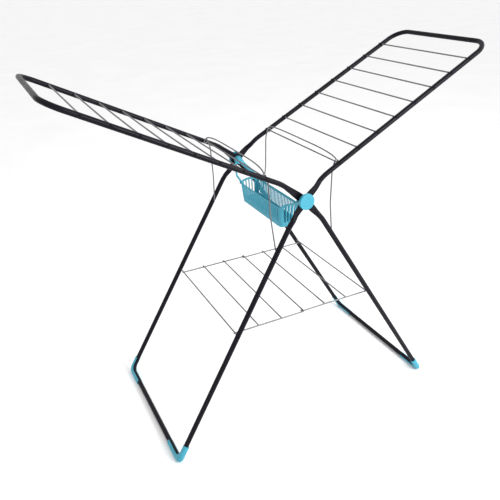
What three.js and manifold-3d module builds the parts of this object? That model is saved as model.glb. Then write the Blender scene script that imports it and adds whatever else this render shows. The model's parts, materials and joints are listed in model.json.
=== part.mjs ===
// Folding clothes drying rack: two U-shaped tube leg frames and two U-shaped tube wing frames that
// all turn on one pair of hub bolts. Wire rails cross the wings, wire struts prop the wings on the
// legs, a two-part wire shelf spreads the legs, and a plastic basket hangs between the hubs.
// Millimetres, +Z up. X runs across both wings, Y along the hub axis, and Z = 0 is the floor.
//
// Every frame is drawn folded: it hangs straight down from the hub axis, its plane a small offset
// outside that axis. Nested groups then turn it to where it stands when the rack is open.

import * as THREE from 'three';
import { mergeVertices } from 'three/addons/utils/BufferGeometryUtils.js';
import { ConvexGeometry } from 'three/addons/geometries/ConvexGeometry.js';
import Module from 'manifold-3d';

const wasm = await Module();
wasm.setup();

// ---- Driving dimensions ----

const GAP = 0.3;                       // clearance between pieces that touch
const SLIVER = 0.02;                   // edges shorter than this are merged after a join or a cut
const SINK = 0.2;                      // how far a joined piece is let into its neighbour
const HUB_HEIGHT = 771;                // hub axis above the floor
const FOOT_BAR_HEIGHT = 11;            // centre of the foot bars above the floor
const LEG_TILT = THREE.MathUtils.degToRad(31);     // leg frames from the vertical
const WING_OPEN = THREE.MathUtils.degToRad(86.4);  // open wing from its own leg frame

const TUBE_SIDES = 12;
const BEND_STEP = Math.PI / 12;        // turn of one segment in a tube bend
const HUB_BEND_RADIUS = 60;

const WIRE_RADIUS = 2.25;
const WIRE_SIDES = 8;
const WIRE_HOLE_RADIUS = 2.75;
const PEEN_RADIUS = 3.7;               // upset wire end outside a tube
const PEEN_LENGTH = 1.5;

// U frames: offset of the plane from the hub axis, distance down to the bend near the hub and to
// the cross bar, half width at the hub and at the bar, bend radius of the two corners, tube radius,
// and distance from the hub axis to where the pressed end has become round tube.
const LEG = { offset: 13, bend: 84, hubY: 239, endY: 259.5, corner: 24, radius: 8, roundStart: 72 };
LEG.length = (HUB_HEIGHT - FOOT_BAR_HEIGHT + LEG.offset * Math.sin(LEG_TILT)) / Math.cos(LEG_TILT);
const WING = {
  offset: 21.5, bend: 90, hubY: 223, endY: 213.5, corner: 55, radius: 7.5, roundStart: 80,
  length: 764.5,
};

const FLAT_THICKNESS = 2.6;            // pressed tube end
const FLAT_WIDTH = 21;
const FLAT_LENGTH = 44;                // from the hub axis to the end of the flat
const BLEND_STEPS = 4;                 // rings between the flat and the round tube
const LANE = { wingLeft: 227, wingRight: 230, legLeft: 233, legRight: 236 };
const STACK_INNER = LANE.wingLeft - FLAT_THICKNESS / 2;
const STACK_OUTER = LANE.legRight + FLAT_THICKNESS / 2;

const BOLT_RADIUS = 3;
const BOLT_HOLE_RADIUS = 3.35;
const BOLT_HEAD = { radius: 6.5, thickness: 3.4 };
const NUT = { across: 10, inner: 220, outer: 224.5 };
const WASHER_RADIUS = 7;
const OUTER_CAP = { radius: 24.5, wall: 2.2, depth: 9 };
const INNER_CAP = { radius: 15, wall: 2, face: 216, bossRadius: 6.8, lipRadius: 9, lipFace: 207 };
const HUB_SIDES = 16;

const RAIL = { count: 8, fromBar: 89, pitch: 75.45, rise: 3 };
const STRUT = {
  radius: 2.1, eyeRadius: 6, hookReach: 168, y: 210, flareFrom: 130, flareBend: 60,
  endY: 227.5, tipY: 232.3, tipBend: 4, arch: 23,
};

const SHELF = { height: 391, railsPerHalf: 3, leftY: 222, rightY: 217, drop: 4.2, hookDrop: 5.2 };

const FOOT = { outerRadius: 11.8, corner: 10, alongBar: 90, alongLeg: 60 };

const BASKET = {
  rimZ: -48, floorZ: -119.5, rimX: 34.5, rimY: 140, floorX: 28.5, floorY: 134, corner: 14, wall: 2.2,
  lipHeight: 4, lipOut: 1.6, slots: 4, slotPitch: 12.6, slotWidth: 7, slotTop: -57, slotBottom: -107,
};
const HANGER = {
  eyeInner: 7.6, eyeOuter: 12.5, eyeY: 211, thickness: 3.4, width: 8, footDrop: 10,
  topX: 8, topDrop: 8, kneeX: 25, kneeIn: 22, kneeDrop: 28, cornerInset: 6,
};

// ---- Materials ----

function finish(name, colour, roughness, metalness) {
  return new THREE.MeshStandardMaterial({ name, color: colour, roughness, metalness });
}
const tubePaint = () => finish('tube_paint', 0x2b2b30, 0.38, 0.1);
const railWire = () => finish('rail_wire', 0x8f949a, 0.35, 0.8);
const bluePlastic = () => finish('blue_plastic', 0x4cb9d6, 0.45, 0);
const boltSteel = () => finish('bolt_steel', 0xa7abb0, 0.3, 1);

// ---- Solids ----

function toSolid(geometry) {
  const bare = geometry.index ? geometry.clone() : geometry;
  bare.deleteAttribute('normal');
  bare.deleteAttribute('uv');
  const merged = mergeVertices(bare, 1e-4);
  return new wasm.Manifold(new wasm.Mesh({
    numProp: 3,
    vertProperties: Float32Array.from(merged.attributes.position.array),
    triVerts: Uint32Array.from(merged.index.array),
  }));
}

function toGeometry(solid) {
  const mesh = solid.simplify(SLIVER).getMesh();
  const geometry = new THREE.BufferGeometry();
  geometry.setAttribute('position', new THREE.BufferAttribute(mesh.vertProperties, 3));
  geometry.setIndex(new THREE.BufferAttribute(mesh.triVerts, 1));
  geometry.computeVertexNormals();
  return geometry;
}

function join(geometries) {
  return geometries.map(toSolid).reduce((sum, piece) => sum.add(piece));
}

function cut(solid, geometries) {
  return geometries.map(toSolid).reduce((rest, piece) => rest.subtract(piece), solid);
}

function part(name, geometry, material) {
  const mesh = new THREE.Mesh(geometry, material);
  mesh.name = name;
  return mesh;
}

// ---- Shapes ----

const Y_AXIS = new THREE.Vector3(0, 1, 0);

function polygon(radius, sides, turn = 0) {
  const points = [];
  for (let i = 0; i < sides; i += 1) {
    const angle = turn + (i / sides) * 2 * Math.PI;
    points.push(new THREE.Vector2(radius * Math.cos(angle), radius * Math.sin(angle)));
  }
  return points;
}

// A path whose stations are visited one by one, so that bends get close steps and runs get one.
class StationCurve extends THREE.Curve {
  constructor(stations) {
    super();
    this.stations = stations;
  }

  getUtoTmapping(u) {
    return u;
  }

  getPoint(t, target = new THREE.Vector3()) {
    const last = this.stations.length - 1;
    const place = Math.min(Math.max(t, 0), 1) * last;
    const index = Math.min(Math.floor(place), last - 1);
    return target.lerpVectors(this.stations[index], this.stations[index + 1], place - index);
  }
}

// Turns a list of corner points into stations, each inner corner rounded to its own radius.
function roundedStations(corners, radii) {
  const stations = [corners[0]];
  for (let i = 1; i < corners.length - 1; i += 1) {
    const before = corners[i].clone().sub(corners[i - 1]).normalize();
    const after = corners[i + 1].clone().sub(corners[i]).normalize();
    const turn = before.angleTo(after);
    const inward = after.clone().addScaledVector(before, -Math.cos(turn)).normalize();
    const start = corners[i].clone().addScaledVector(before, -radii[i] * Math.tan(turn / 2));
    const steps = Math.max(1, Math.round(turn / BEND_STEP));
    for (let k = 0; k <= steps; k += 1) {
      const angle = (turn * k) / steps;
      stations.push(start.clone()
        .addScaledVector(before, radii[i] * Math.sin(angle))
        .addScaledVector(inward, radii[i] * (1 - Math.cos(angle))));
    }
  }
  stations.push(corners[corners.length - 1]);
  return stations;
}

function sweep(section, stations) {
  return new THREE.ExtrudeGeometry(new THREE.Shape(section), {
    steps: stations.length - 1,
    extrudePath: new StationCurve(stations),
  });
}

function rod(from, to, radius, sides) {
  const along = to.clone().sub(from);
  const geometry = new THREE.CylinderGeometry(radius, radius, along.length(), sides);
  geometry.applyQuaternion(new THREE.Quaternion().setFromUnitVectors(Y_AXIS, along.normalize()));
  return geometry.translate(...from.clone().add(to).multiplyScalar(0.5).toArray());
}

// A body turned about the Y axis from [radius, y] points.
function turned(profile, sides) {
  return new THREE.LatheGeometry(profile.map(([r, y]) => new THREE.Vector2(r, y)), sides);
}

// A cross wire along Y, held in tubes whose outer faces are tubeFace away from the middle.
function peenedWire(x, z, tubeFace) {
  const neck = tubeFace + GAP;
  const end = neck + PEEN_LENGTH;
  const profile = [
    [0, -end], [PEEN_RADIUS * 0.7, -end], [PEEN_RADIUS, -neck], [WIRE_RADIUS, -neck],
    [WIRE_RADIUS, neck], [PEEN_RADIUS, neck], [PEEN_RADIUS * 0.7, end], [0, end],
  ];
  return turned(profile, WIRE_SIDES).translate(x, 0, z);
}

// ---- U frames ----

// Half width of a frame at a distance down from the hub axis.
function frameY(frame, down) {
  const share = (down - frame.bend) / (frame.length - frame.bend);
  return frame.hubY + (frame.endY - frame.hubY) * share;
}

function frameCorners(frame) {
  const reach = Math.hypot(frame.offset, frame.bend);
  const start = frame.roundStart / reach;
  const half = [
    new THREE.Vector3(frame.offset * start, frame.hubY, -frame.bend * start),
    new THREE.Vector3(frame.offset, frame.hubY, -frame.bend),
    new THREE.Vector3(frame.offset, frame.endY, -frame.length),
  ];
  const other = half.map((p) => new THREE.Vector3(p.x, -p.y, p.z)).reverse();
  return [...half, ...other];
}

// Stadium section, flat along x, with half width w and half thickness t.
function stadium(angle, w, t) {
  const x = Math.sign(Math.cos(angle)) * (w - t) + t * Math.cos(angle);
  return new THREE.Vector2(x, t * Math.sin(angle));
}

// The pressed end of a tube: a flat plate round the bolt and a loft up to the round section.
function pressedEnd(frame, lane, side) {
  const outward = new THREE.Vector3(frame.offset, 0, -frame.bend).normalize();
  const across = new THREE.Vector3().crossVectors(Y_AXIS, outward);
  const place = new THREE.Matrix4().makeBasis(outward, across, Y_AXIS);

  const outline = new THREE.Shape();
  outline.moveTo(FLAT_LENGTH, -FLAT_WIDTH / 2);
  outline.lineTo(FLAT_LENGTH, FLAT_WIDTH / 2);
  outline.lineTo(0, FLAT_WIDTH / 2);
  outline.absarc(0, 0, FLAT_WIDTH / 2, Math.PI / 2, 1.5 * Math.PI);
  const plate = new THREE.ExtrudeGeometry(outline, {
    depth: FLAT_THICKNESS, bevelEnabled: false, curveSegments: 6,
  });
  plate.translate(0, 0, side * lane - FLAT_THICKNESS / 2);

  // A cylinder from the flat to the round tube, each ring reshaped to its own stadium section.
  const from = FLAT_LENGTH - 1;
  const span = frame.roundStart + 1 - from;
  const loft = new THREE.CylinderGeometry(1, 1, 1, TUBE_SIDES, BLEND_STEPS);
  loft.rotateY(Math.PI / TUBE_SIDES);
  const ring = loft.attributes.position;
  for (let i = 0; i < ring.count; i += 1) {
    const share = 0.5 - ring.getY(i);
    const inAxis = Math.hypot(ring.getX(i), ring.getZ(i)) < 0.5;
    const angle = Math.atan2(ring.getZ(i), ring.getX(i));
    const ease = share * share * (3 - 2 * share);
    const w = THREE.MathUtils.lerp(FLAT_WIDTH / 2, frame.radius - SINK, ease) - SINK;
    const t = THREE.MathUtils.lerp(FLAT_THICKNESS / 2, frame.radius - SINK, ease) - SINK;
    const point = inAxis ? new THREE.Vector2() : stadium(angle, w, t);
    const level = THREE.MathUtils.lerp(side * lane, side * frame.hubY, ease);
    ring.setXYZ(i, from + span * share, point.x, level + point.y);
  }
  return [plate.applyMatrix4(place), loft.applyMatrix4(place)];
}

function boltHoles(radius) {
  const reach = STACK_OUTER + 20;
  return [rod(new THREE.Vector3(0, -reach, 0), new THREE.Vector3(0, reach, 0), radius, TUBE_SIDES)];
}

// Clearance holes through both side tubes, wherever a cross wire passes.
function wireHoles(x, downs) {
  const reach = LEG.endY + 2 * LEG.radius;
  return downs.map((down) => rod(
    new THREE.Vector3(x, -reach, -down),
    new THREE.Vector3(x, reach, -down),
    WIRE_HOLE_RADIUS,
    WIRE_SIDES,
  ));
}

function uFrame(frame, lane, wireX, wireDowns) {
  const radii = [0, HUB_BEND_RADIUS, frame.corner, frame.corner, HUB_BEND_RADIUS, 0];
  const stations = roundedStations(frameCorners(frame), radii);
  const tube = sweep(polygon(frame.radius, TUBE_SIDES), stations);
  const solid = join([tube, ...pressedEnd(frame, lane, 1), ...pressedEnd(frame, lane, -1)]);
  return toGeometry(cut(solid, [...boltHoles(BOLT_HOLE_RADIUS), ...wireHoles(wireX, wireDowns)]));
}

// ---- Feet ----

// A half shell over the outer side of one foot corner, cut flat where it stands on the floor.
function footShell(side) {
  const corner = new THREE.Vector3(LEG.offset, side * LEG.endY, -LEG.length);
  const legEnd = new THREE.Vector3(
    LEG.offset,
    side * frameY(LEG, LEG.length - FOOT.alongLeg),
    -(LEG.length - FOOT.alongLeg),
  );
  const barEnd = new THREE.Vector3(LEG.offset, side * (LEG.endY - FOOT.alongBar), -LEG.length);
  const stations = roundedStations([legEnd, corner, barEnd], [0, FOOT.corner, 0]);
  const shell = toSolid(sweep(polygon(FOOT.outerRadius, TUBE_SIDES), stations));

  const longer = roundedStations([
    legEnd.clone().add(legEnd.clone().sub(corner).setLength(5)),
    corner,
    barEnd.clone().add(barEnd.clone().sub(corner).setLength(5)),
  ], [0, LEG.corner, 0]);
  const bore = sweep(polygon(LEG.radius + GAP, TUBE_SIDES), longer);

  const outline = longer.map((p) => new THREE.Vector2(p.y, p.z));
  outline.push(new THREE.Vector2(longer[longer.length - 1].y, longer[0].z));
  const inside = new THREE.ExtrudeGeometry(new THREE.Shape(outline), {
    depth: 4 * FOOT.outerRadius, bevelEnabled: false,
  });
  inside.translate(0, 0, -2 * FOOT.outerRadius);
  inside.applyMatrix4(new THREE.Matrix4().makeBasis(
    new THREE.Vector3(0, 1, 0),
    new THREE.Vector3(0, 0, 1),
    new THREE.Vector3(1, 0, 0),
  ));
  inside.translate(LEG.offset, 0, 0);

  const floorBlock = new THREE.BoxGeometry(200, 400, 100);
  floorBlock.translate(0, 0, -FOOT_BAR_HEIGHT - 50);
  floorBlock.rotateY(LEG_TILT);
  floorBlock.translate(corner.x, corner.y, corner.z);
  return toGeometry(cut(shell, [bore, inside, floorBlock]));
}

// ---- Struts ----

function wingRailDown(index) {
  return WING.length - RAIL.fromBar - RAIL.pitch * index;
}

const STRUT_RAIL_DOWN = wingRailDown(RAIL.count - 1);

// Place of the strut's rail and of its hook on the leg tube, both seen from the open leg frame.
const strutRail = new THREE.Vector3(WING.offset + RAIL.rise, 0, -STRUT_RAIL_DOWN)
  .applyAxisAngle(Y_AXIS, -WING_OPEN);
const strutHook = new THREE.Vector3(LEG.offset, 0, -STRUT.hookReach);
const strutLine = strutHook.clone().sub(strutRail);
const STRUT_LENGTH = strutLine.length();
const STRUT_OPEN = Math.atan2(-strutLine.x, -strutLine.z) + WING_OPEN;

// One wire: hooked tip, leg, eye round the rail, arch over to the other eye, leg, hooked tip.
function strut() {
  const section = polygon(STRUT.radius, 6);
  const pieces = [];
  for (const side of [-1, 1]) {
    const corners = [
      new THREE.Vector3(0, side * STRUT.y, SINK - STRUT.eyeRadius),
      new THREE.Vector3(0, side * STRUT.y, -STRUT.flareFrom),
      new THREE.Vector3(0, side * STRUT.endY, -STRUT_LENGTH),
      new THREE.Vector3(0, side * STRUT.tipY, -STRUT_LENGTH),
    ];
    pieces.push(sweep(section, roundedStations(corners, [0, STRUT.flareBend, STRUT.tipBend, 0])));
    const ring = polygon(STRUT.radius, 6).map((p) => [STRUT.eyeRadius + p.x, p.y]);
    ring.push(ring[0]);
    pieces.push(turned(ring, 12).translate(0, side * STRUT.y, 0));
  }
  const arch = [];
  const steps = 10;
  for (let i = 0; i <= steps; i += 1) {
    const share = (2 * i) / steps - 1;
    const rise = Math.sqrt(Math.max(0, 1 - share ** 4));
    const z = STRUT.eyeRadius - SINK + (STRUT.arch - STRUT.eyeRadius) * rise;
    arch.push(new THREE.Vector3(0, share * STRUT.y, z));
  }
  pieces.push(sweep(section, arch));
  return toGeometry(join(pieces));
}

// ---- Shelf ----

const SHELF_DROP = HUB_HEIGHT - SHELF.height;
const SHELF_PIVOT_DOWN = (SHELF_DROP + LEG.offset * Math.sin(LEG_TILT)) / Math.cos(LEG_TILT);
const SHELF_PIVOT_X = SHELF_PIVOT_DOWN * Math.sin(LEG_TILT) + LEG.offset * Math.cos(LEG_TILT);
const SHELF_PITCH = SHELF_PIVOT_X / SHELF.railsPerHalf;

// Half of the shelf, from its hinge wire in the leg tubes (high x) to the middle (x = 0).
// The left half carries the middle wire; the right half ends in open hooks below that wire.
function shelfHalf(isLeft) {
  const section = polygon(WIRE_RADIUS, WIRE_SIDES, Math.PI / WIRE_SIDES);
  const sideY = isLeft ? SHELF.leftY : SHELF.rightY;
  const pieces = [
    peenedWire(SHELF_PIVOT_X, 0, frameY(LEG, SHELF_PIVOT_DOWN) + LEG.radius),
  ];
  for (let i = isLeft ? 0 : 1; i < SHELF.railsPerHalf; i += 1) {
    const end = sideY + WIRE_RADIUS;
    pieces.push(rod(
      new THREE.Vector3(i * SHELF_PITCH, -end, 0),
      new THREE.Vector3(i * SHELF_PITCH, end, 0),
      WIRE_RADIUS,
      WIRE_SIDES,
    ));
  }
  for (const y of [-sideY, sideY]) {
    const stations = [
      new THREE.Vector3(SHELF_PIVOT_X + WIRE_RADIUS, y, -SHELF.drop),
      new THREE.Vector3(SHELF_PITCH, y, -SHELF.drop),
    ];
    if (isLeft) {
      stations.push(new THREE.Vector3(-WIRE_RADIUS, y, -SHELF.drop));
    } else {
      for (let k = 0; k <= 4; k += 1) {
        const angle = (k / 4) * 0.6 * Math.PI;
        stations.push(new THREE.Vector3(
          -SHELF.hookDrop * Math.sin(angle),
          y,
          -SHELF.hookDrop * Math.cos(angle),
        ));
      }
    }
    pieces.push(sweep(section, stations));
  }
  return toGeometry(join(pieces));
}

// ---- Hub hardware: everything along +Y, as it lies on the far hub ----

function outerCap() {
  const { radius, wall, depth } = OUTER_CAP;
  const base = STACK_OUTER + GAP;
  const top = base + depth;
  return turned([
    [0, base + depth - wall], [radius - wall, top - wall], [radius - wall, base], [radius, base],
    [radius, top - 2.5], [radius - 0.8, top - 0.8], [radius - 2.5, top], [3.5, top], [2.5, top - 0.8],
    [0, top - 0.8],
  ], HUB_SIDES);
}

function innerCap() {
  const { radius, wall, face, bossRadius, lipRadius, lipFace } = INNER_CAP;
  const rim = STACK_INNER - GAP;
  return turned([
    [0, lipFace], [lipRadius - 0.8, lipFace], [lipRadius, lipFace + 0.8], [lipRadius, lipFace + 1.8],
    [bossRadius, lipFace + 1.8], [bossRadius, face], [radius - 1.5, face], [radius, face + 1.5],
    [radius, rim], [radius - wall, rim], [radius - wall, face + wall], [0, face + wall],
  ], HUB_SIDES);
}

function hubBolt() {
  const seat = STACK_OUTER + GAP;
  const end = NUT.inner - 0.8;
  return turned([
    [0, end], [BOLT_RADIUS, end], [BOLT_RADIUS, seat], [BOLT_HEAD.radius, seat],
    [BOLT_HEAD.radius, seat + BOLT_HEAD.thickness * 0.6],
    [BOLT_HEAD.radius * 0.6, seat + BOLT_HEAD.thickness], [0, seat + BOLT_HEAD.thickness],
  ], TUBE_SIDES);
}

function ring(outline, holeRadius, from, to) {
  const shape = new THREE.Shape(outline);
  shape.holes.push(new THREE.Path(polygon(holeRadius, TUBE_SIDES)));
  const geometry = new THREE.ExtrudeGeometry(shape, { depth: to - from, bevelEnabled: false });
  return geometry.rotateX(-Math.PI / 2).translate(0, from, 0);
}

function hubNut() {
  return ring(polygon(NUT.across / Math.sqrt(3), 6), BOLT_HOLE_RADIUS, NUT.inner, NUT.outer);
}

function hubWasher() {
  const outline = polygon(WASHER_RADIUS, TUBE_SIDES);
  return ring(outline, BOLT_HOLE_RADIUS, NUT.outer + GAP, STACK_INNER - GAP);
}

// ---- Basket ----

function roundedRectangle(halfX, halfY, radius, z) {
  const shape = new THREE.Shape();
  const quarter = Math.PI / 2;
  shape.absarc(halfX - radius, halfY - radius, radius, 0, quarter);
  shape.absarc(radius - halfX, halfY - radius, radius, quarter, 2 * quarter);
  shape.absarc(radius - halfX, radius - halfY, radius, 2 * quarter, 3 * quarter);
  shape.absarc(halfX - radius, radius - halfY, radius, 3 * quarter, 4 * quarter);
  return shape.getPoints(2).map((p) => new THREE.Vector3(p.x, p.y, z));
}

function taperedBlock(rim, floor) {
  return new ConvexGeometry([...rim, ...floor]);
}

function basketBody() {
  const { rimX, rimY, floorX, floorY, corner, wall, rimZ, floorZ, lipHeight, lipOut } = BASKET;
  const outside = taperedBlock(
    roundedRectangle(rimX, rimY, corner, rimZ),
    roundedRectangle(floorX, floorY, corner, floorZ),
  );
  const lip = taperedBlock(
    roundedRectangle(rimX + lipOut, rimY + lipOut, corner + lipOut, rimZ),
    roundedRectangle(rimX + lipOut, rimY + lipOut, corner + lipOut, rimZ - lipHeight),
  );
  const inside = taperedBlock(
    roundedRectangle(rimX - wall, rimY - wall, corner - wall, rimZ + 0.5),
    roundedRectangle(floorX - wall, floorY - wall, corner - wall, floorZ + wall),
  );
  const slots = [];
  for (let i = 0; i < BASKET.slots; i += 1) {
    const x = (i - (BASKET.slots - 1) / 2) * BASKET.slotPitch;
    const height = BASKET.slotTop - BASKET.slotBottom;
    slots.push(new THREE.BoxGeometry(BASKET.slotWidth, 4 * rimY, height)
      .translate(x, 0, (BASKET.slotTop + BASKET.slotBottom) / 2));
  }
  return toGeometry(cut(join([outside, lip]), [inside, ...slots]));
}

// A straight length of flat strap whose width lies along X.
function strapLength(from, to, width, thickness) {
  const along = to.clone().sub(from).normalize();
  const normal = new THREE.Vector3(1, 0, 0).cross(along).normalize();
  const corners = [];
  for (const end of [from, to]) {
    for (const w of [-width / 2, width / 2]) {
      for (const t of [-thickness / 2, thickness / 2]) {
        corners.push(end.clone().add(new THREE.Vector3(w, 0, 0)).addScaledVector(normal, t));
      }
    }
  }
  return new ConvexGeometry(corners);
}

// An eye on the inner cap's boss with two straps down to the basket's rim corners.
function basketHanger() {
  const { eyeInner, eyeOuter, eyeY, thickness, width } = HANGER;
  const endFace = BASKET.rimY + BASKET.lipOut + GAP + thickness / 2;
  const pieces = [];
  for (const side of [-1, 1]) {
    const top = new THREE.Vector3(side * HANGER.topX, eyeY, -HANGER.topDrop);
    const knee = new THREE.Vector3(side * HANGER.kneeX, eyeY - HANGER.kneeIn, -HANGER.kneeDrop);
    const rim = new THREE.Vector3(side * (BASKET.rimX - HANGER.cornerInset), endFace, BASKET.rimZ + 2);
    const foot = rim.clone().setZ(BASKET.rimZ - HANGER.footDrop);
    pieces.push(strapLength(top, knee, width, thickness));
    pieces.push(strapLength(knee, rim, width, thickness));
    pieces.push(strapLength(rim, foot, width, thickness));
  }
  const eye = new THREE.CylinderGeometry(eyeOuter, eyeOuter, thickness, HUB_SIDES).translate(0, eyeY, 0);
  const bore = new THREE.CylinderGeometry(eyeInner, eyeInner, 30, HUB_SIDES).translate(0, eyeY, 0);
  return toGeometry(cut(join([eye, ...pieces]), [bore]));
}

// ---- Assembly ----

const rack = new THREE.Group();

// Near is towards -Y. The left half is the right half turned half round about the vertical.
const sideName = (isLeft) => (isLeft ? 'left' : 'right');
const endName = (isLeft, localY) => ((localY < 0) === isLeft ? 'far' : 'near');

for (const isLeft of [true, false]) {
  const name = sideName(isLeft);
  const half = new THREE.Group();
  half.rotation.z = isLeft ? Math.PI : 0;
  rack.add(half);

  const leg = new THREE.Group();
  leg.position.z = HUB_HEIGHT;
  leg.rotation.y = -LEG_TILT;
  half.add(leg);
  const legLane = isLeft ? LANE.legLeft : LANE.legRight;
  leg.add(part(`leg_frame_${name}`, uFrame(LEG, legLane, LEG.offset, [SHELF_PIVOT_DOWN]), tubePaint()));
  for (const localY of [-1, 1]) {
    leg.add(part(`foot_cap_${endName(isLeft, localY)}_${name}`, footShell(localY), bluePlastic()));
  }

  const wing = new THREE.Group();
  wing.rotation.y = -WING_OPEN;
  leg.add(wing);
  const downs = [];
  for (let i = 0; i < RAIL.count; i += 1) {
    downs.push(wingRailDown(i));
  }
  const wingLane = isLeft ? LANE.wingLeft : LANE.wingRight;
  wing.add(part(`wing_frame_${name}`, uFrame(WING, wingLane, WING.offset + RAIL.rise, downs), tubePaint()));
  downs.forEach((down, i) => {
    const wire = peenedWire(WING.offset + RAIL.rise, -down, frameY(WING, down) + WING.radius);
    wing.add(part(`wing_rail_${name}_${i + 1}`, wire, railWire()));
  });

  const prop = new THREE.Group();
  prop.position.set(WING.offset + RAIL.rise, 0, -STRUT_RAIL_DOWN);
  prop.rotation.y = STRUT_OPEN;
  wing.add(prop);
  prop.add(part(`wing_strut_${name}`, strut(), railWire()));

  const shelf = part(`shelf_half_${name}`, shelfHalf(isLeft), railWire());
  shelf.position.z = SHELF.height;
  half.add(shelf);
}

for (const end of ['far', 'near']) {
  const hub = new THREE.Group();
  hub.position.z = HUB_HEIGHT;
  hub.rotation.z = end === 'near' ? Math.PI : 0;
  rack.add(hub);
  hub.add(part(`hub_outer_cap_${end}`, outerCap(), bluePlastic()));
  hub.add(part(`hub_inner_cap_${end}`, innerCap(), bluePlastic()));
  hub.add(part(`hub_bolt_${end}`, hubBolt(), boltSteel()));
  hub.add(part(`hub_nut_${end}`, hubNut(), boltSteel()));
  hub.add(part(`hub_washer_${end}`, hubWasher(), boltSteel()));
  hub.add(part(`basket_hanger_${end}`, basketHanger(), bluePlastic()));
}

const basket = part('basket_body', basketBody(), bluePlastic());
basket.position.z = HUB_HEIGHT;
rack.add(basket);

export default rack;
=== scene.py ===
import json
import math

import bmesh
import bpy
from mathutils import Matrix, Vector


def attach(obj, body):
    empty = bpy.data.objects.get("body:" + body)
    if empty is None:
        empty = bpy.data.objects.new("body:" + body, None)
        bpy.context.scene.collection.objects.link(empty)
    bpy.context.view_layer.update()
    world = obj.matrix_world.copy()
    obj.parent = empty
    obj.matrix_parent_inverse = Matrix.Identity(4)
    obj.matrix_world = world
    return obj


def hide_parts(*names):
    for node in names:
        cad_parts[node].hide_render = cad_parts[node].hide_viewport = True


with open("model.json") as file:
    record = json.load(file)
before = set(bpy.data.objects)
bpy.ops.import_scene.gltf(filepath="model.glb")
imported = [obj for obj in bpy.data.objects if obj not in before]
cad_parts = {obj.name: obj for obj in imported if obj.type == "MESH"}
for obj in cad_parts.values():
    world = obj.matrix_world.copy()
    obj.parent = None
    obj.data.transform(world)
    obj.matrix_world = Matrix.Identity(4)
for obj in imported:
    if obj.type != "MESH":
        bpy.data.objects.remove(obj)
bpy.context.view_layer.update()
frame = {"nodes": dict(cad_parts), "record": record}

# Folding clothes drying rack: finer pieces for every part of the frame, its procedural materials,
# and a plain studio. Lengths are millimetres until put_in_scene scales them to metres.

MM = 0.001
X_AXIS = Vector((1, 0, 0))
Y_AXIS = Vector((0, 1, 0))

JOINTS = {joint["name"]: joint for joint in frame["record"]["behaviour"]["joints"]}


def joint_place(name):
    return Vector(JOINTS[name]["pos_m"]) / MM


HUB_HEIGHT = joint_place("leg_fold").z
SHELF_PIVOT = joint_place("right_shelf_lift")
FOOT_BAR_HEIGHT = 11
LEG_TILT = math.radians(31)
WING_OPEN = math.radians(86.4)

TUBE_SIDES = 36
SHARP = 35                    # degrees between faces from which their edge is left sharp
TUBE_SHARP = 50
FOOT_SHARP = 40
BASKET_SHARP = 50
HUB_BEND_RADIUS = 130
BEND_STEP = math.radians(5)
LEG = {"offset": 13, "bend": 84, "hub_y": 239, "end_y": 259.5, "corner": 24, "radius": 8,
       "round": 72}
LEG["length"] = ((HUB_HEIGHT - FOOT_BAR_HEIGHT + LEG["offset"] * math.sin(LEG_TILT))
                 / math.cos(LEG_TILT))
WING = {"offset": 21.5, "bend": 90, "hub_y": 223, "end_y": 213.5, "corner": 55, "radius": 7.5,
        "round": 80, "length": 764.5}
FLAT = {"half_width": 11.8, "half_thickness": 1.3, "cap_edge": 22, "length": 44, "tip": 1.02,
        "easing": 0.5, "nose_steps": 8, "blend_steps": 14}
LANE = {"wing_left": 227, "wing_right": 230, "leg_left": 233, "leg_right": 236}
STACK_INNER = LANE["wing_left"] - FLAT["half_thickness"]
STACK_OUTER = LANE["leg_right"] + FLAT["half_thickness"]

GAP = 0.3
WIRE_RADIUS = 2.25
WIRE_SIDES = 20
PEEN = {"radius": 3.7, "length": 1.5, "edge": 0.4, "shoulder_drop": 0.35,
        "shoulder_share": 0.85, "face_share": 0.55}
DOME_SHARE = 0.3              # of a wire's radius, eased off at its open ends
JOINT_SHADE_LENGTH = 4                  # length of a wire inside the tube's inner face given the tube's black as painted shade where the wire meets the tube
RAIL = {"count": 8, "from_bar": 89, "pitch": 75.45, "rise": 3}
STRUT = {"radius": 2.1, "eye": 6, "hook_reach": 168, "y": 210, "flare_from": 130,
         "flare_bend": 60, "end_y": 227.5, "tip_y": 232.3, "tip_bend": 4, "arch": 23,
         "belly": 5, "belly_at": 26, "lean": 7, "eye_steps": 32, "arch_steps": 48}
SHELF = {"half_rails": 3, "left_y": 222, "right_y": 217, "drop": 4.2, "hook_drop": 5.2,
         "hook_turn": math.radians(108), "hook_steps": 12}
FOOT = {"radius": 11.8, "corner": 10, "along_bar": 90, "along_leg": 52, "side": 9.1,
        "wrap": math.radians(128), "wrap_steps": 18, "straight_steps": 6, "edge": 0.9,
        "edge_segments": 3, "edge_angle": math.radians(50)}
OUTER_CAP = {"radius": 24.5, "wall": 2.2, "depth": 9, "round": 2.6,
             "dimple": 1.3, "dimple_z": 9, "dimple_radius": 2.8, "dimple_power": 4,
             "rim": 0.4, "top_rings": 16, "sides": 96}
INNER_CAP = {"radius": 13.5, "wall": 2, "face": 216, "boss": 6.8, "lip": 9, "lip_face": 207,
             "lip_round": 0.9, "round": 2, "sides": 72}
BASKET = {"rim_z": -48, "floor_z": -119.5, "rim_x": 34.5, "rim_y": 140, "floor_x": 28.5,
          "floor_y": 134, "corner": 11, "wall": 1.8, "lip": 1.4, "arch": 7, "fillet": 5,
          "slot_top": -54, "side_slot_bottom": -98, "end_slot_bottom": -106, "relief": 1.1,
          "crown_inset": 6, "end_band": 20, "arch_fade": 1.6, "row_height": 4, "wall_rows": 13,
          "fillet_steps": 6}
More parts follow.
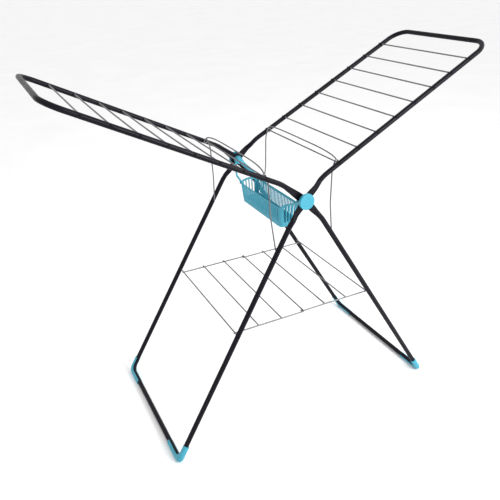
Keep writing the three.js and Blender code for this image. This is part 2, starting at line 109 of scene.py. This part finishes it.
# The basket's rim from its top down, as (depth, how far it stands out)
BASKET_RIM = ((0, BASKET["lip"] - 0.6), (0.5, BASKET["lip"]), (3, BASKET["lip"]), (3.8, 0.2))
HANGER = {"eye_inner": 7.6, "eye_outer": 12.5, "eye_y": 211, "half_thickness": 1.7,
          "outer_round": 0.8, "inner_round": 0.6, "bend": 9, "foot": 11, "strap_thickness": 0.95,
          "eye_sides": 64, "strap_sides": 20}
TONGUE_WIDTHS = (8, 5.5)
STRAP_WIDTHS = (3.6, 3.6)
ON_FACE = 0.01                # closer to a face than this counts as lying on it

CAMERA = {"sensor": 36, "lens": 42.4, "azimuth": 25.13, "elevation": 26.65, "roll": -2.65,
          "place": (-0.8219, -1.5947, 1.4141)}
LIGHT_AIM = Vector((0, 0, 0.6))
LIGHTS = {"key": ((1.5, -3.0, 2.0), 115, 1.5), "fill": ((2.4, -0.8, 2.2), 18, 2.0)}
FLOOR_HALF_SIZE = 40
NOISE_LOW = 0.3               # most of a noise texture's values lie between these two
NOISE_HIGH = 0.7


# ---- Materials ----

def new_material(name):
    material = bpy.data.materials.new(name)
    material.use_nodes = True
    tree = material.node_tree
    return material, tree, tree.nodes["Principled BSDF"]


def noise(tree, scale, detail, stretch=(1, 1, 1)):
    """Noise in object space, squeezed along an axis by stretch."""
    place = tree.nodes.new("ShaderNodeTexCoord")
    mapping = tree.nodes.new("ShaderNodeMapping")
    mapping.inputs["Scale"].default_value = stretch
    texture = tree.nodes.new("ShaderNodeTexNoise")
    texture.inputs["Scale"].default_value = scale
    texture.inputs["Detail"].default_value = detail
    tree.links.new(place.outputs["Object"], mapping.inputs["Vector"])
    tree.links.new(mapping.outputs["Vector"], texture.inputs["Vector"])
    return texture.outputs["Fac"]


def ramp(tree, value, low, high):
    """A colour that runs from low to high over the noise's usual values."""
    node = tree.nodes.new("ShaderNodeValToRGB")
    node.color_ramp.elements[0].position = NOISE_LOW
    node.color_ramp.elements[0].color = (*low, 1)
    node.color_ramp.elements[1].position = NOISE_HIGH
    node.color_ramp.elements[1].color = (*high, 1)
    tree.links.new(value, node.inputs["Fac"])
    return node.outputs["Color"]


def spread(tree, value, low, high):
    """A number that runs from low to high over the noise's usual values."""
    node = tree.nodes.new("ShaderNodeMapRange")
    node.inputs["From Min"].default_value = NOISE_LOW
    node.inputs["From Max"].default_value = NOISE_HIGH
    node.inputs["To Min"].default_value = low
    node.inputs["To Max"].default_value = high
    tree.links.new(value, node.inputs["Value"])
    return node.outputs["Result"]


def bump(tree, shader, value, strength, distance):
    node = tree.nodes.new("ShaderNodeBump")
    node.inputs["Strength"].default_value = strength
    node.inputs["Distance"].default_value = distance
    tree.links.new(value, node.inputs["Height"])
    tree.links.new(node.outputs["Normal"], shader.inputs["Normal"])


def surface_material(name, sockets, tint, gloss, grain):
    """A material whose colour, roughness and surface each follow a noise (scale, detail...)."""
    material, tree, shader = new_material(name)
    for socket, value in sockets.items():
        shader.inputs[socket].default_value = value
    colour = ramp(tree, noise(tree, *tint["noise"]), tint["low"], tint["high"])
    roughness = spread(tree, noise(tree, *gloss["noise"]), gloss["low"], gloss["high"])
    tree.links.new(colour, shader.inputs["Base Color"])
    tree.links.new(roughness, shader.inputs["Roughness"])
    bump(tree, shader, noise(tree, *grain["noise"]), grain["strength"], grain["depth"])
    return material


DRAWN_LINES = (900, 3, (1, 0.03, 1))       # fine lines along the wire

PAINT = surface_material(
    "tube_paint",
    {"Metallic": 0.0, "Specular IOR Level": 0.11},
    {"noise": (9, 3), "low": (0.003, 0.0026, 0.0055), "high": (0.006, 0.0052, 0.0095)},
    {"noise": (60, 4), "low": 0.30, "high": 0.42},
    {"noise": (1400, 2), "strength": 0.18, "depth": 0.0002})
WIRE = surface_material(
    "rail_wire",
    {"Metallic": 0.75},
    {"noise": (25, 4), "low": (0.12, 0.122, 0.13), "high": (0.17, 0.173, 0.183)},
    {"noise": DRAWN_LINES, "low": 0.34, "high": 0.5},
    {"noise": DRAWN_LINES, "strength": 0.12, "depth": 0.0001})
PLASTIC = surface_material(
    "blue_plastic",
    {"Metallic": 0.0, "Subsurface Weight": 0.05, "Subsurface Radius": (0.002, 0.004, 0.005)},
    {"noise": (14, 3), "low": (0.026, 0.275, 0.375), "high": (0.036, 0.31, 0.42)},
    {"noise": (90, 3), "low": 0.36, "high": 0.48},
    {"noise": (1600, 2), "strength": 0.12, "depth": 0.00015})
ZINC = surface_material(
    "bolt_steel",
    {"Metallic": 1.0},
    {"noise": (220, 3), "low": (0.48, 0.49, 0.50), "high": (0.64, 0.65, 0.66)},
    {"noise": (700, 2), "low": 0.24, "high": 0.4},
    {"noise": (1800, 2), "strength": 0.1, "depth": 0.0001})


# ---- Shapes ----

def put_in_scene(name, bm, place, body, materials, nodes, sharp=SHARP):
    """Turns a mesh in its own millimetre frame into a piece that rides on a body."""
    bmesh.ops.remove_doubles(bm, verts=bm.verts, dist=1e-4)
    bm.transform(Matrix.Scale(MM, 4) @ place)
    bmesh.ops.recalc_face_normals(bm, faces=bm.faces)
    mesh = bpy.data.meshes.new(name)
    bm.to_mesh(mesh)
    bm.free()
    for material in materials:
        mesh.materials.append(material)
    for face in mesh.polygons:
        face.use_smooth = True
    mesh.set_sharp_from_angle(angle=math.radians(sharp))
    piece = bpy.data.objects.new(name, mesh)
    bpy.context.scene.collection.objects.link(piece)
    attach(piece, body)
    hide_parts(*nodes)
    return piece


def lerp(a, b, share):
    return a + (b - a) * share


def smooth(share):
    return share * share * (3 - 2 * share)


def rounded(corners, radii):
    """Corner points to stations, each inner corner rounded to its own radius."""
    stations = [corners[0]]
    for i in range(1, len(corners) - 1):
        before = (corners[i] - corners[i - 1]).normalized()
        after = (corners[i + 1] - corners[i]).normalized()
        turn = before.angle(after)
        inward = (after - before * math.cos(turn)).normalized()
        start = corners[i] - before * radii[i] * math.tan(turn / 2)
        steps = max(2, round(turn / BEND_STEP))
        for k in range(steps + 1):
            angle = turn * k / steps
            stations.append(start + before * radii[i] * math.sin(angle)
                            + inward * radii[i] * (1 - math.cos(angle)))
    stations.append(corners[-1])
    return stations


def bridge(bm, rings, closed_path=False, ends=True):
    """Quads between neighbouring rings, and a face over each end of an open path."""
    rows = [[bm.verts.new(p) for p in ring] for ring in rings]
    count = len(rows[0])
    pairs = list(zip(rows, rows[1:]))
    if closed_path:
        pairs.append((rows[-1], rows[0]))
    for low, high in pairs:
        for k in range(count):
            after = (k + 1) % count
            bm.faces.new((low[k], low[after], high[after], high[k]))
    if ends and not closed_path:
        bm.faces.new(rows[0])
        bm.faces.new(reversed(rows[-1]))


def sweep(bm, path, sizes, normal, sides, closed=False):
    """A stadium section carried along a path. sizes gives its half width and half thickness."""
    rings = []
    last = len(path) - 1
    for i, point in enumerate(path):
        before = path[i - 1] if i or closed else point
        after = path[(i + 1) % len(path)] if i < last or closed else point
        tangent = (after - before).normalized()
        normal = (normal - tangent * normal.dot(tangent)).normalized()
        side = tangent.cross(normal)
        width, thick = sizes[i]
        ring = []
        for k in range(sides):
            angle = 2 * math.pi * (k + 0.5) / sides
            across = math.copysign(width - thick, math.cos(angle)) + thick * math.cos(angle)
            ring.append(point + normal * across + side * thick * math.sin(angle))
        rings.append(ring)
    bridge(bm, rings, closed_path=closed)


def wire(bm, path, radius, normal=X_AXIS, closed=False):
    """A round wire whose open ends are slightly domed."""
    sizes = [(radius, radius)] * len(path)
    if not closed:
        first = (path[1] - path[0]).normalized()
        final = (path[-2] - path[-1]).normalized()
        ease = radius * DOME_SHARE
        path = [path[0], path[0] + first * ease, *path[1:-1], path[-1] + final * ease, path[-1]]
        sizes = [(radius - ease,) * 2, *[(radius,) * 2] * (len(path) - 2), (radius - ease,) * 2]
    sweep(bm, path, sizes, normal, WIRE_SIDES, closed)


def lathe(bm, profile, x=0, z=0, sides=WIRE_SIDES):
    """A body turned about the line along Y through (x, z), from (radius, y) points."""
    rings = []
    for radius, y in profile:
        angles = [2 * math.pi * k / sides for k in range(sides)]
        rings.append([Vector((x + radius * math.cos(a), y, z + radius * math.sin(a)))
                      for a in angles])
    bridge(bm, rings, ends=False)


def arc(centre_r, centre_y, radius, start, end, steps=6):
    """(radius, y) points of an arc, from one angle to another, in degrees."""
    points = []
    for k in range(steps + 1):
        angle = math.radians(lerp(start, end, k / steps))
        points.append((centre_r + radius * math.cos(angle), centre_y + radius * math.sin(angle)))
    return points


# ---- Places of the bodies' own frames ----

def half_place(side):
    return Matrix.Rotation(math.pi if side == "left" else 0, 4, "Z")


def leg_place(side):
    """A leg frame's own frame: origin on the hub axis, the tube running down -Z."""
    up = Matrix.Translation((0, 0, HUB_HEIGHT))
    return half_place(side) @ up @ Matrix.Rotation(-LEG_TILT, 4, "Y")


def wing_place(side):
    """A wing frame's own frame: origin on the hub axis, the tube running down -Z."""
    return leg_place(side) @ Matrix.Rotation(-WING_OPEN, 4, "Y")


def wing_rail_down(index):
    return WING["length"] - RAIL["from_bar"] - RAIL["pitch"] * index


RAIL_X = WING["offset"] + RAIL["rise"]
LAST_RAIL = Vector((RAIL_X, 0, -wing_rail_down(RAIL["count"] - 1)))
STRUT_HOOK = Vector((LEG["offset"], 0, -STRUT["hook_reach"]))
STRUT_LINE = STRUT_HOOK - Matrix.Rotation(-WING_OPEN, 3, "Y") @ LAST_RAIL
STRUT_LENGTH = STRUT_LINE.length
STRUT_OPEN = math.atan2(-STRUT_LINE.x, -STRUT_LINE.z) + WING_OPEN


# ---- Tube frames ----

def frame_y(dims, down):
    share = (down - dims["bend"]) / (dims["length"] - dims["bend"])
    return lerp(dims["hub_y"], dims["end_y"], share)


def pressed_end(dims, lane, side):
    """Stations and sizes from the rounded nose of the flat up to the round tube."""
    outward = Vector((dims["offset"], 0, -dims["bend"])).normalized()
    wide = FLAT["half_width"]
    thin = FLAT["half_thickness"]
    stations = []
    for k in range(1, FLAT["nose_steps"] + 1):
        angle = math.pi / 2 * k / FLAT["nose_steps"]
        half = max(wide * math.sin(angle), thin * FLAT["tip"])
        stations.append((-wide * math.cos(angle), half, thin, lane))
    for k in range(FLAT["blend_steps"] + 1):
        share = k / FLAT["blend_steps"]
        ease = lerp(share, smooth(share), FLAT["easing"])
        reach = lerp(FLAT["cap_edge"], dims["round"], share)
        rise = smooth(max(0, (reach - FLAT["length"]) / (dims["round"] - FLAT["length"])))
        stations.append((reach, lerp(wide, dims["radius"], ease), lerp(thin, dims["radius"], rise),
                         lerp(lane, dims["hub_y"], rise)))
    points = [outward * d + Y_AXIS * side * y for d, _, _, y in stations]
    return points, [(w, t) for _, w, t, _ in stations]


def tube_frame(name, dims, lane, place, body, node):
    """One bent tube from pressed end to pressed end, round its foot bar or wing tip."""
    near, sizes = pressed_end(dims, lane, -1)
    far, _ = pressed_end(dims, lane, 1)
    corners = [near[-1]]
    for side in (-1, 1):
        hub = Vector((dims["offset"], side * dims["hub_y"], -dims["bend"]))
        foot = Vector((dims["offset"], side * dims["end_y"], -dims["length"]))
        corners += [hub, foot] if side < 0 else [foot, hub]
    corners.append(far[-1])
    radii = [0, HUB_BEND_RADIUS, dims["corner"], dims["corner"], HUB_BEND_RADIUS, 0]
    middle = rounded(corners, radii)[1:-1]
    path = near + middle + far[::-1]
    full = sizes + [(dims["radius"], dims["radius"])] * len(middle) + sizes[::-1]
    across = Y_AXIS.cross((near[-1] - near[0]).normalized())
    bm = bmesh.new()
    sweep(bm, path, full, across, TUBE_SIDES)
    put_in_scene(name, bm, place, body, [PAINT], [node], TUBE_SHARP)


# ---- Wires ----

def peened_wire(bm, x, z, dims, down):
    """A cross wire with its ends upset against the tubes' outer faces, in the tubes' black paint
    from there in, the short stretch inside the tube's inner face being painted shade at the joint.
    """
    middle = frame_y(dims, down)
    neck = middle + dims["radius"] + GAP
    end = neck + PEEN["length"]
    head = PEEN["radius"]
    dark = middle - dims["radius"] - JOINT_SHADE_LENGTH
    half = [(0, end), (head * PEEN["face_share"], end),
            (head * PEEN["shoulder_share"], end - PEEN["shoulder_drop"]),
            (head, neck + PEEN["edge"]), (head, neck), (WIRE_RADIUS, neck), (WIRE_RADIUS, dark)]
    lathe(bm, [(r, -y) for r, y in half] + half[::-1], x, z)
    return dark


def paint_ends_and_joint_shade(bm, dark):
    # Faces past dark get the tube's paint: real black on the peened ends, painted shade on the wire
    # just inside the tube where it meets the tube
    for face in bm.faces:
        if abs(face.calc_center_median().y) > dark:
            face.material_index = 1


def wing_rail(side, index):
    down = wing_rail_down(index)
    bm = bmesh.new()
    dark = peened_wire(bm, RAIL_X, -down, WING, down)
    # The tube's black on the peened ends, and as painted shade on the wire where it meets the tube
    paint_ends_and_joint_shade(bm, dark)
    put_in_scene(f"rail_{side}_{index + 1}", bm, wing_place(side), f"{side}_wing",
                 [WIRE, PAINT], [f"wing_rail_{side}_{index + 1}"])


def strut(side):
    """One wire: hooked tip, leg, eye round the last rail, and the arch over to the other leg."""
    bm = bmesh.new()
    eye = STRUT["eye"]
    for end in (-1, 1):
        corners = [
            Vector((-eye, end * STRUT["y"], 0)),
            Vector((-eye - STRUT["belly"], end * STRUT["y"], -STRUT["belly_at"])),
            Vector((-STRUT["belly"], end * STRUT["y"], -STRUT["flare_from"])),
            Vector((0, end * STRUT["end_y"], -STRUT_LENGTH)),
            Vector((0, end * STRUT["tip_y"], -STRUT_LENGTH)),
        ]
        radii = [0, STRUT["flare_bend"], STRUT["flare_bend"], STRUT["tip_bend"], 0]
        wire(bm, rounded(corners, radii), STRUT["radius"])
        loop = []
        for k in range(STRUT["eye_steps"]):
            angle = 2 * math.pi * k / STRUT["eye_steps"]
            loop.append(Vector((eye * math.sin(angle), end * STRUT["y"], eye * math.cos(angle))))
        wire(bm, loop, STRUT["radius"], Y_AXIS, closed=True)
    arch = []
    for k in range(STRUT["arch_steps"] + 1):
        angle = math.pi * k / STRUT["arch_steps"]
        share = math.copysign(math.sqrt(abs(math.cos(angle))), -math.cos(angle))
        rise = lerp(eye, STRUT["arch"], math.sin(angle))
        arch.append(Vector((-STRUT["lean"] * math.sin(angle), share * STRUT["y"], rise)))
    wire(bm, arch, STRUT["radius"])
    place = wing_place(side) @ Matrix.Translation(LAST_RAIL) @ Matrix.Rotation(STRUT_OPEN, 4, "Y")
    put_in_scene(f"strut_{side}", bm, place, f"{side}_strut", [WIRE],
                 [f"wing_strut_{side}"])


def shelf_half(side):
    """Cross wires on two side wires. The right half hooks under the left half's middle wire."""
    is_left = side == "left"
    side_y = SHELF["left_y"] if is_left else SHELF["right_y"]
    pitch = SHELF_PIVOT.x / SHELF["half_rails"]
    pivot_down = ((HUB_HEIGHT - SHELF_PIVOT.z + LEG["offset"] * math.sin(LEG_TILT))
                  / math.cos(LEG_TILT))
    bm = bmesh.new()
    dark = peened_wire(bm, SHELF_PIVOT.x, 0, LEG, pivot_down)
    # The tube's black on the peened ends, and as painted shade on the wire where it meets the tube
    paint_ends_and_joint_shade(bm, dark)
    for i in range(0 if is_left else 1, SHELF["half_rails"]):
        end = Vector((i * pitch, side_y + WIRE_RADIUS, 0))
        wire(bm, [Vector((end.x, -end.y, 0)), end], WIRE_RADIUS)
    for y in (-side_y, side_y):
        path = [Vector((SHELF_PIVOT.x + WIRE_RADIUS, y, -SHELF["drop"]))]
        if is_left:
            path.append(Vector((-WIRE_RADIUS, y, -SHELF["drop"])))
        else:
            path.append(Vector((pitch, y, -SHELF["drop"])))
            for k in range(SHELF["hook_steps"] + 1):
                angle = SHELF["hook_turn"] * k / SHELF["hook_steps"]
                path.append(Vector((-SHELF["hook_drop"] * math.sin(angle), y,
                                    -SHELF["hook_drop"] * math.cos(angle))))
        wire(bm, path, WIRE_RADIUS, Y_AXIS)
    place = half_place(side) @ Matrix.Translation((0, 0, SHELF_PIVOT.z))
    put_in_scene(f"shelf_{side}", bm, place, f"{side}_shelf", [WIRE, PAINT],
                 [f"shelf_half_{side}"])


# ---- Feet ----

def foot_stations(end, radius):
    """Stations round one foot corner, from the leg down to the bar."""
    length = LEG["length"]
    up = length - FOOT["along_leg"]
    corners = [
        Vector((LEG["offset"], end * frame_y(LEG, up), -up)),
        Vector((LEG["offset"], end * LEG["end_y"], -length)),
        Vector((LEG["offset"], end * (LEG["end_y"] - FOOT["along_bar"]), -length)),
    ]
    start, *bend, last = rounded(corners, [0, radius, 0])
    steps = FOOT["straight_steps"]
    return ([start.lerp(bend[0], k / steps) for k in range(steps)] + bend
            + [bend[-1].lerp(last, k / steps) for k in range(1, steps + 1)])


def foot_cap(side, end):
    """A shell wrapped round the outer side of a foot corner, with a flat sole."""
    inner = foot_stations(end, LEG["corner"])
    outer = foot_stations(end, FOOT["corner"])
    last = len(inner) - 1
    steps = FOOT["wrap_steps"]
    rings = []
    for i in range(last + 1):
        tangent = (outer[min(i + 1, last)] - outer[max(i - 1, 0)]).normalized()
        outward = X_AXIS.cross(tangent) * end
        outside = []
        inside = []
        for k in range(steps + 1):
            angle = lerp(-FOOT["wrap"], FOOT["wrap"], k / steps)
            front = max(0, math.cos(angle))
            way = outward * math.cos(angle) + X_AXIS * math.sin(angle)
            reach = lerp(FOOT["side"], FOOT["radius"], front)
            outside.append(inner[i].lerp(outer[i], front) + way * reach)
            inside.append(inner[i] + way * (LEG["radius"] + GAP / 2))
        rings.append(outside + inside[::-1])
    bm = bmesh.new()
    bridge(bm, rings)
    place = leg_place(side)
    bm.transform(place)
    for vertex in bm.verts:
        vertex.co.z = max(vertex.co.z, 0)
    bm.transform(place.inverted())
    far = (end < 0) == (side == "left")
    name = f"{'far' if far else 'near'}_{side}"
    piece = put_in_scene(f"foot_{name}", bm, place, f"{side}_leg", [PLASTIC],
                         [f"foot_cap_{name}"], FOOT_SHARP)
    soften = piece.modifiers.new("edges", "BEVEL")
    soften.width = FOOT["edge"] * MM
    soften.segments = FOOT["edge_segments"]
    soften.limit_method = "ANGLE"
    soften.angle_limit = FOOT["edge_angle"]


# ---- Hubs ----

def hub_place(end):
    """A frame on the hub axis whose +Y points out of the rack at this end."""
    turn = Matrix.Rotation(math.pi if end == "near" else 0, 4, "Z")
    return Matrix.Translation((0, 0, HUB_HEIGHT)) @ turn


def outer_cap(end):
    """A round cap with a softly rounded edge and a small dimple off its centre."""
    radius = OUTER_CAP["radius"]
    wall = OUTER_CAP["wall"]
    edge = OUTER_CAP["round"]
    base = STACK_OUTER + GAP
    top = base + OUTER_CAP["depth"]
    profile = [(0, top - wall), (radius - wall, top - wall), (radius - wall, base),
               (radius - OUTER_CAP["rim"], base), (radius, base + OUTER_CAP["rim"])]
    profile += arc(radius - edge, top - edge, edge, 0, 90)
    rings = OUTER_CAP["top_rings"]
    profile += [((radius - edge) * (1 - k / rings), top) for k in range(1, rings + 1)]
    bm = bmesh.new()
    lathe(bm, profile, sides=OUTER_CAP["sides"])
    for vertex in bm.verts:
        if vertex.co.y > top - ON_FACE:
            reach = math.hypot(vertex.co.x, vertex.co.z - OUTER_CAP["dimple_z"])
            share = reach / OUTER_CAP["dimple_radius"]
            vertex.co.y -= OUTER_CAP["dimple"] * math.exp(-share ** OUTER_CAP["dimple_power"])
    put_in_scene(f"cap_outer_{end}", bm, hub_place(end), "left_leg", [PLASTIC],
                 [f"hub_outer_cap_{end}"])


def inner_cap(end):
    """A cup over the nut, with a boss and a lip that hold the basket's hanger."""
    rim = STACK_INNER - GAP
    radius, face = INNER_CAP["radius"], INNER_CAP["face"]
    wall, boss = INNER_CAP["wall"], INNER_CAP["boss"]
    lip, lip_face = INNER_CAP["lip"], INNER_CAP["lip_face"]
    lip_edge, edge = INNER_CAP["lip_round"], INNER_CAP["round"]
    profile = [(0, lip_face), (lip - lip_edge, lip_face)]
    profile += arc(lip - lip_edge, lip_face + lip_edge, lip_edge, -90, 90)
    profile += [(boss, lip_face + 2 * lip_edge), (boss, face), (radius - edge, face)]
    profile += arc(radius - edge, face + edge, edge, -90, 0)
    profile += [(radius, rim), (radius - wall, rim), (radius - wall, face + wall), (0, face + wall)]
    bm = bmesh.new()
    lathe(bm, profile, sides=INNER_CAP["sides"])
    put_in_scene(f"cap_inner_{end}", bm, hub_place(end), "left_leg", [PLASTIC],
                 [f"hub_inner_cap_{end}"])


def basket_hanger(end):
    """An eye on the inner cap's boss, a broad tongue on one side and a thin strap on the other."""
    thick = HANGER["half_thickness"]
    eye_y = HANGER["eye_y"]
    inner, outer = HANGER["eye_inner"], HANGER["eye_outer"]
    big, small = HANGER["outer_round"], HANGER["inner_round"]
    bm = bmesh.new()
    profile = arc(outer - big, eye_y + thick - big, big, 90, 0)
    profile += arc(outer - big, eye_y - thick + big, big, 0, -90)
    profile += arc(inner + small, eye_y - thick + small, small, -90, -180)
    profile += arc(inner + small, eye_y + thick - small, small, 180, 90)
    lathe(bm, profile + profile[:1], sides=HANGER["eye_sides"])
    end_face = BASKET["rim_y"] + BASKET["lip"] + GAP + thick
    rim, foot = BASKET["rim_z"] + 1, BASKET["rim_z"] - HANGER["foot"]
    # Both paths run from the eye, along over the basket and down outside its end wall
    tongue = [Vector((8, eye_y, -4)), Vector((13, eye_y - 4, -14)), Vector((26, eye_y - 40, -30)),
              Vector((28, end_face, rim)), Vector((28, end_face, foot))]
    strap = [Vector((-9, eye_y, -3)), Vector((-22, eye_y - 10, -9)), Vector((-31, eye_y - 36, -20)),
             Vector((-31, eye_y - 42, rim + 8)), Vector((-30, end_face, rim)),
             Vector((-30, end_face, foot))]
    for corners, (wide, narrow) in ((tongue, TONGUE_WIDTHS), (strap, STRAP_WIDTHS)):
        path = rounded(corners, [0, *[HANGER["bend"]] * (len(corners) - 2), 0])
        sizes = [(lerp(wide, narrow, k / (len(path) - 1)), thick * HANGER["strap_thickness"])
                 for k in range(len(path))]
        sweep(bm, path, sizes, X_AXIS, HANGER["strap_sides"])
    put_in_scene(f"hanger_{end}", bm, hub_place(end), "basket", [PLASTIC],
                 [f"basket_hanger_{end}"])


# ---- Basket ----

SIDE_PITCHES = 27
SIDE_PATTERN = (1, 1, 1, 0, 0, 0, 0)       # 1 is rib and 0 is slot, column by column
END_PITCHES = 4
END_PATTERN = (1, 1, 0, 0, 0, 0, 0, 1)
CORNER_COLUMNS = 8


def basket_columns():
    """Every column of the wall as (kind, is rib, share along its straight or corner)."""
    columns = []
    for kind, pattern, pitches in (("side", SIDE_PATTERN, SIDE_PITCHES),
                                   ("end", END_PATTERN, END_PITCHES)) * 2:
        total = len(pattern) * pitches
        columns += [(kind, pattern[k % len(pattern)], k / total) for k in range(total)]
        columns += [("corner", 1, k / CORNER_COLUMNS) for k in range(CORNER_COLUMNS)]
    return columns


def basket_outline(half_x, half_y, grow):
    """Points round the basket at one level, one per column, counter-clockwise from +X, -Y."""
    r = BASKET["corner"]
    points = []
    quarter = 0
    for kind, is_rib, share in basket_columns():
        out, reach = (half_x, half_y - r) if quarter % 2 == 0 else (half_y, half_x - r)
        if kind == "corner":
            angle = math.pi / 2 * share
            local = Vector((out - r + (r + grow) * math.cos(angle),
                            reach + (r + grow) * math.sin(angle)))
        else:
            relief = BASKET["relief"] if is_rib else 0
            local = Vector((out + grow + relief, lerp(-reach, reach, share)))
        points.append(Matrix.Rotation(math.pi / 2 * quarter, 2) @ local)
        if kind == "corner" and round(share * CORNER_COLUMNS) == CORNER_COLUMNS - 1:
            quarter += 1
    return points


def basket_rows():
    """Levels of the wall from the rim down to the floor, as (z, how far it stands out)."""
    rim, floor = BASKET["rim_z"], BASKET["floor_z"]
    fillet = BASKET["fillet"]
    rows = [(rim - depth, out) for depth, out in BASKET_RIM]
    rows += [(BASKET["slot_top"] - BASKET["row_height"] * k, 0) for k in range(BASKET["wall_rows"])]
    for k in range(BASKET["fillet_steps"] + 1):
        angle = math.pi / 2 * k / BASKET["fillet_steps"]
        rows.append((floor + fillet * (1 - math.sin(angle)), -fillet * (1 - math.cos(angle))))
    return rows


def basket_body():
    """One skin with its slots left open, given its wall thickness by a modifier."""
    rim, floor = BASKET["rim_z"], BASKET["floor_z"]
    columns = basket_columns()
    rows = basket_rows()
    bm = bmesh.new()
    levels = []
    for z, grow in rows:
        share = (rim - z) / (rim - floor)
        half_x = lerp(BASKET["rim_x"], BASKET["floor_x"], share)
        half_y = lerp(BASKET["rim_y"], BASKET["floor_y"], share)
        level = []
        for point in basket_outline(half_x, half_y, grow):
            crown = max(0, 1 - (point.x / (BASKET["rim_x"] - BASKET["crown_inset"])) ** 2)
            fade = max(0, 1 - share * BASKET["arch_fade"])
            at_end = abs(point.y) > BASKET["rim_y"] - BASKET["end_band"]
            lift = BASKET["arch"] * crown * fade if at_end else 0
            level.append(bm.verts.new((point.x, point.y, z + lift)))
        levels.append(level)
    count = len(columns)
    for i, (upper, lower) in enumerate(zip(levels, levels[1:])):
        middle = (rows[i][0] + rows[i + 1][0]) / 2
        for k, (kind, is_rib, _) in enumerate(columns):
            bottom = BASKET["side_slot_bottom"] if kind == "side" else BASKET["end_slot_bottom"]
            if not is_rib and bottom < middle < BASKET["slot_top"]:
                continue
            after = (k + 1) % count
            bm.faces.new((upper[k], upper[after], lower[after], lower[k]))
    bm.faces.new(levels[-1])
    place = Matrix.Translation((0, 0, HUB_HEIGHT))
    piece = put_in_scene("basket", bm, place, "basket", [PLASTIC],
                         ["basket_body"], BASKET_SHARP)
    thicken = piece.modifiers.new("wall", "SOLIDIFY")
    thicken.thickness = BASKET["wall"] * MM
    thicken.offset = -1
    thicken.use_even_offset = False


# ---- Assembly ----

for side_name in ("left", "right"):
    tube_frame(f"legs_{side_name}", LEG, LANE[f"leg_{side_name}"], leg_place(side_name),
               f"{side_name}_leg", f"leg_frame_{side_name}")
    tube_frame(f"wing_{side_name}", WING, LANE[f"wing_{side_name}"], wing_place(side_name),
               f"{side_name}_wing", f"wing_frame_{side_name}")
    for rail_index in range(RAIL["count"]):
        wing_rail(side_name, rail_index)
    strut(side_name)
    shelf_half(side_name)
    for foot_end in (-1, 1):
        foot_cap(side_name, foot_end)

for hub_end in ("far", "near"):
    outer_cap(hub_end)
    inner_cap(hub_end)
    basket_hanger(hub_end)
basket_body()

for node_name, node in frame["nodes"].items():
    if node_name.startswith(("hub_bolt", "hub_nut", "hub_washer")):
        node.data.materials.clear()
        node.data.materials.append(ZINC)


# ---- Camera, floor and light ----

def make_camera():
    data = bpy.data.cameras.new("camera")
    data.sensor_width = CAMERA["sensor"]
    data.lens = CAMERA["lens"]
    camera = bpy.data.objects.new("camera", data)
    bpy.context.scene.collection.objects.link(camera)
    azimuth, elevation, roll = (math.radians(CAMERA[k]) for k in ("azimuth", "elevation", "roll"))
    camera.matrix_world = (Matrix.Translation(CAMERA["place"])
                           @ Matrix.Rotation(-azimuth, 4, "Z")
                           @ Matrix.Rotation(math.pi / 2 - elevation, 4, "X")
                           @ Matrix.Rotation(roll, 4, "Z"))
    bpy.context.scene.camera = camera


def soft_light(name, place, power, size):
    """A square lamp turned towards the middle of the rack."""
    data = bpy.data.lights.new(name, "AREA")
    data.energy = power
    data.size = size
    light = bpy.data.objects.new(name, data)
    bpy.context.scene.collection.objects.link(light)
    turn = (LIGHT_AIM - Vector(place)).to_track_quat("-Z", "Y").to_matrix().to_4x4()
    light.matrix_world = Matrix.Translation(place) @ turn


def make_world():
    world = bpy.data.worlds.new("studio")
    world.use_nodes = True
    background = world.node_tree.nodes["Background"]
    background.inputs["Color"].default_value = (1, 1, 1, 1)
    background.inputs["Strength"].default_value = 1.0
    bpy.context.scene.world = world


def make_floor():
    bm = bmesh.new()
    bmesh.ops.create_grid(bm, x_segments=1, y_segments=1, size=FLOOR_HALF_SIZE)
    mesh = bpy.data.meshes.new("floor")
    bm.to_mesh(mesh)
    bm.free()
    material, tree, shader = new_material("floor")
    tree.links.new(ramp(tree, noise(tree, 2, 2), (0.9, 0.9, 0.9), (0.93, 0.93, 0.93)),
                   shader.inputs["Base Color"])
    shader.inputs["Roughness"].default_value = 0.8
    mesh.materials.append(material)
    floor = bpy.data.objects.new("floor", mesh)
    bpy.context.scene.collection.objects.link(floor)


bpy.context.scene.view_settings.view_transform = "Standard"
make_camera()
make_world()
make_floor()
for light_name, (light_place, light_power, light_size) in LIGHTS.items():
    soft_light(light_name, light_place, light_power, light_size)
